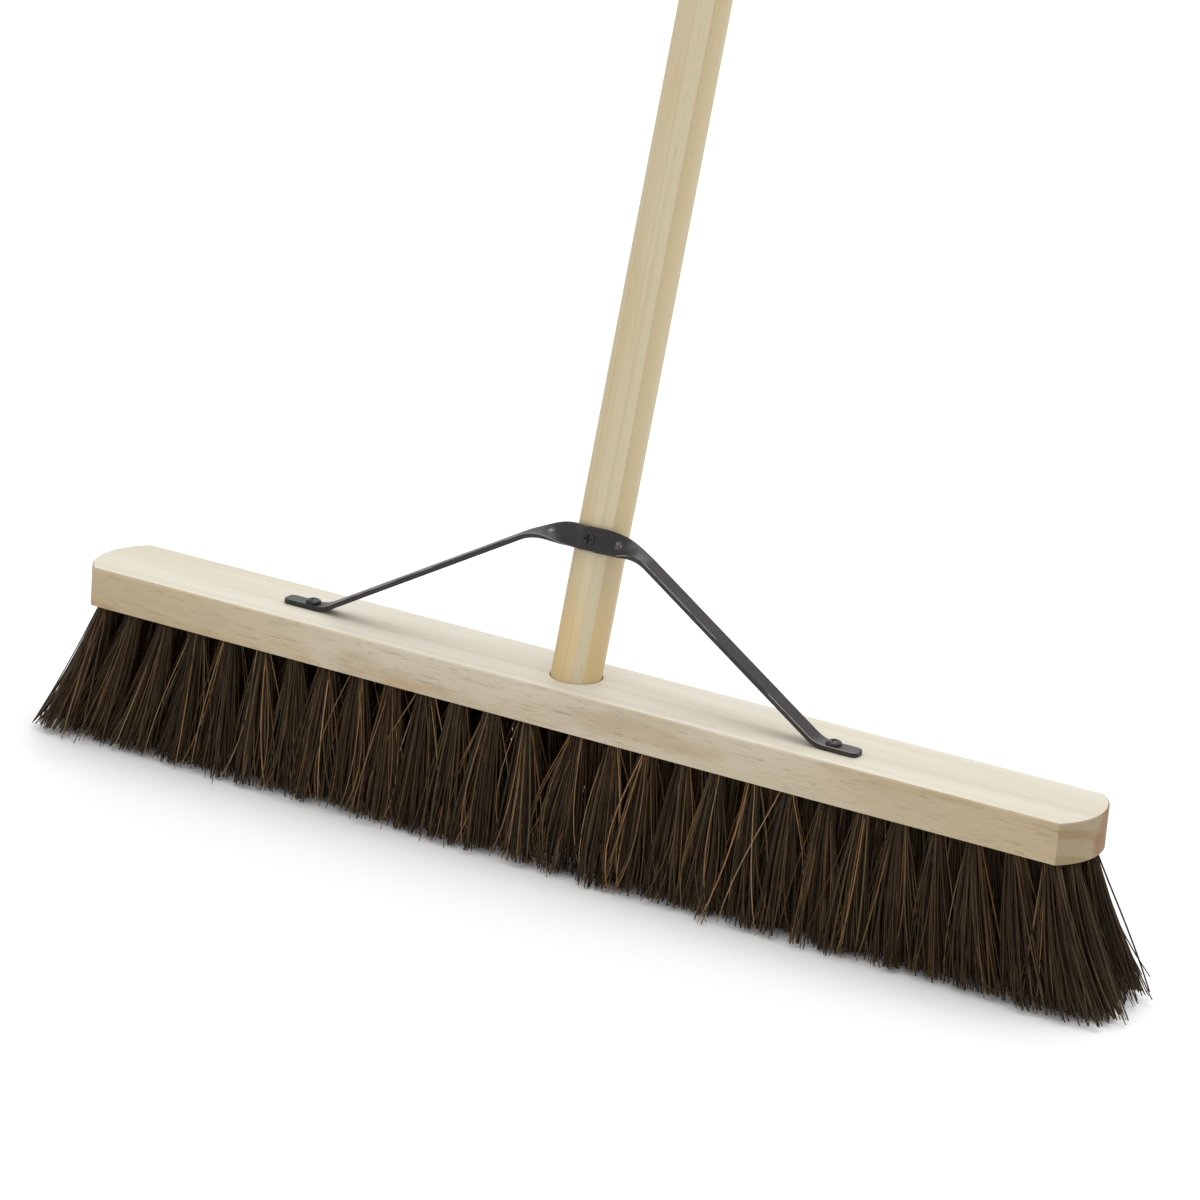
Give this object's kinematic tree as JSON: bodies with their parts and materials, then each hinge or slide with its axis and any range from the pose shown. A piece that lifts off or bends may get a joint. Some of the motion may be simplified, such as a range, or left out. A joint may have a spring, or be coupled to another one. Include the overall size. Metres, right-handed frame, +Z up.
{
  "type": "push broom",
  "caption": "Wide push broom: arched-end wooden head, leaning round pole, flat steel V stay screwed at both feet, and rows of stiff dark natural fibre tufts.",
  "frame": {"origin": "on the plane of the fibre tips, below the middle of the head", "axes": "+X along the head, +Z up from the floor, +Y backwards, the way the pole leans; the stay is on the -Y side"},
  "size_m": [0.6428, 0.3594, 1.4479],
  "materials": {
    "head_wood": "bare planed softwood",
    "pole_wood": "bare sanded pine",
    "black_steel": "satin black",
    "black_screw": "black oxide",
    "fibre": "stiff dark plant fibre",
    "staple_wire": "drawn wire"
  },
  "bodies": {
    "root": {"stock": "head_wood", "handle": "pole_wood", "stay": "black_steel", "stay_screw_left": "black_screw", "stay_screw_right": "black_screw", "handle_screw": "black_screw", "tufts_front_left": "fibre", "tufts_front_right": "fibre", "tufts_midfront_left": "fibre", "tufts_midfront_right": "fibre", "tufts_middle_left": "fibre", "tufts_middle_right": "fibre", "tufts_midback_left": "fibre", "tufts_midback_right": "fibre", "tufts_back_left": "fibre", "tufts_back_right": "fibre", "staples_front_left": "staple_wire", "staples_front_right": "staple_wire", "staples_midfront_left": "staple_wire", "staples_midfront_right": "staple_wire", "staples_middle_left": "staple_wire", "staples_middle_right": "staple_wire", "staples_midback_left": "staple_wire", "staples_midback_right": "staple_wire", "staples_back_left": "staple_wire", "staples_back_right": "staple_wire"}
  },
  "joints": []
}
